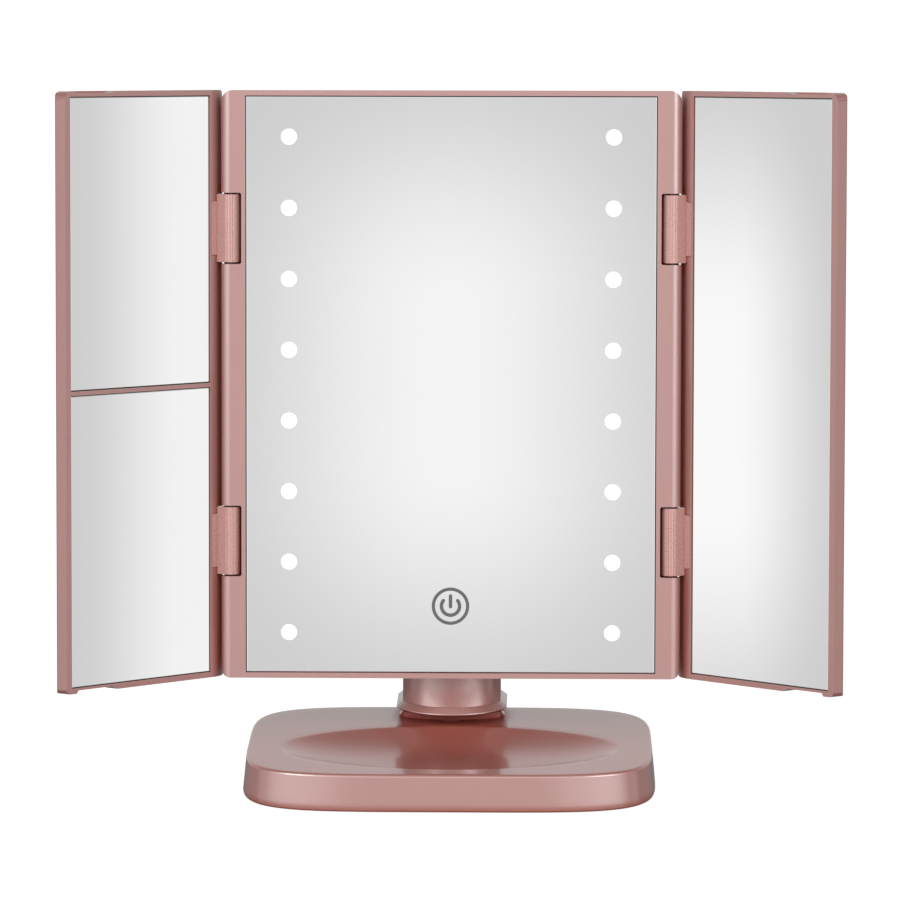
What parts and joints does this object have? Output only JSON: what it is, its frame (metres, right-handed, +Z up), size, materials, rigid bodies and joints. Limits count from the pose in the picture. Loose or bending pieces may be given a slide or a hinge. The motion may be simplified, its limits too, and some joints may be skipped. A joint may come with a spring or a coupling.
{
  "type": "trifold vanity mirror",
  "caption": "Lit tabletop vanity mirror: a centre panel with a folding mirror wing at each side, on a tilting column over a base with an oval tray.",
  "frame": {"origin": "middle of the underside of the anti-slip pad, on the table top", "axes": "+Z up; the mirrors face -Y towards the user; +X is to the right as the user sees it"},
  "size_m": [0.3043, 0.122, 0.2766],
  "materials": {
    "rose_paint": "satin metallic rose-gold paint on moulded ABS",
    "hinge_paint": "satin rose-gold paint on a moulded hinge leaf",
    "mirror_glass": "silvered float glass",
    "milky_acrylic": "milky light-spreading acrylic",
    "circuit_board": "green lacquered glass-epoxy board",
    "lamp_chips": "phosphor-covered lamp chip",
    "copper_foil": "plain copper foil",
    "spring_steel": "bright plated steel",
    "black_plastic": "fine-textured black plastic",
    "cell_sleeve": "plain dark film sleeve over a steel can",
    "pad_rubber": "fine-grained foam rubber"
  },
  "bodies": {
    "stand": {"column_shell": "rose_paint", "column_back": "rose_paint", "column_screws": "spring_steel", "tilt_axle": "spring_steel", "tilt_washers": "spring_steel", "collar": "rose_paint", "base_shell": "rose_paint", "base_plate": "black_plastic", "weight_plate": "spring_steel", "plate_screws": "spring_steel", "base_pad": "pad_rubber"},
    "panel": {"panel_frame": "rose_paint", "center_mirror": "mirror_glass", "light_diffusers": "milky_acrylic", "led_boards": "circuit_board", "leds": "lamp_chips", "touch_pad": "copper_foil", "touch_spring": "spring_steel", "control_board": "circuit_board", "usb_socket": "spring_steel", "switch_body": "spring_steel", "rear_housing": "rose_paint", "housing_screws": "spring_steel", "battery_cells": "cell_sleeve", "battery_springs": "spring_steel", "battery_contacts": "spring_steel", "hinge_pins": "spring_steel", "axle_caps": "rose_paint"},
    "left_wing": {"left_wing_frame": "rose_paint", "left_upper_mirror": "mirror_glass", "left_lower_mirror": "mirror_glass", "left_wing_back": "rose_paint", "left_hinge_leaves": "hinge_paint", "left_leaf_screws": "spring_steel"},
    "right_wing": {"right_wing_frame": "rose_paint", "right_mirror": "mirror_glass", "right_wing_back": "rose_paint", "right_hinge_leaves": "hinge_paint", "right_leaf_screws": "spring_steel"},
    "switch": {"switch_slider": "black_plastic"},
    "door": {"battery_door": "rose_paint"}
  },
  "joints": [
    {"name": "panel_tilt", "type": "hinge", "parent": "stand", "child": "panel", "pos_m": [0, 0.0387, 0.058], "axis": [-1, 0, 0], "range_deg": [-5.7, 84.3]},
    {"name": "left_wing_fold", "type": "hinge", "parent": "panel", "child": "left_wing", "pos_m": [-0.08735, 0.0196, 0.15478], "axis": [0, 0.0993, 0.9951], "range_deg": [-49, 131]},
    {"name": "right_wing_fold", "type": "hinge", "parent": "panel", "child": "right_wing", "pos_m": [0.08735, 0.0196, 0.15478], "axis": [0, -0.0993, -0.9951], "range_deg": [-47.5, 132.5]},
    {"name": "power_switch", "type": "slide", "parent": "panel", "child": "switch", "axis": [1, 0, 0], "range_m": [0, 0.002]},
    {"name": "battery_door_slide", "type": "slide", "parent": "panel", "child": "door", "axis": [0, -0.0993, -0.9951], "range_m": [0, 0.006]}
  ]
}
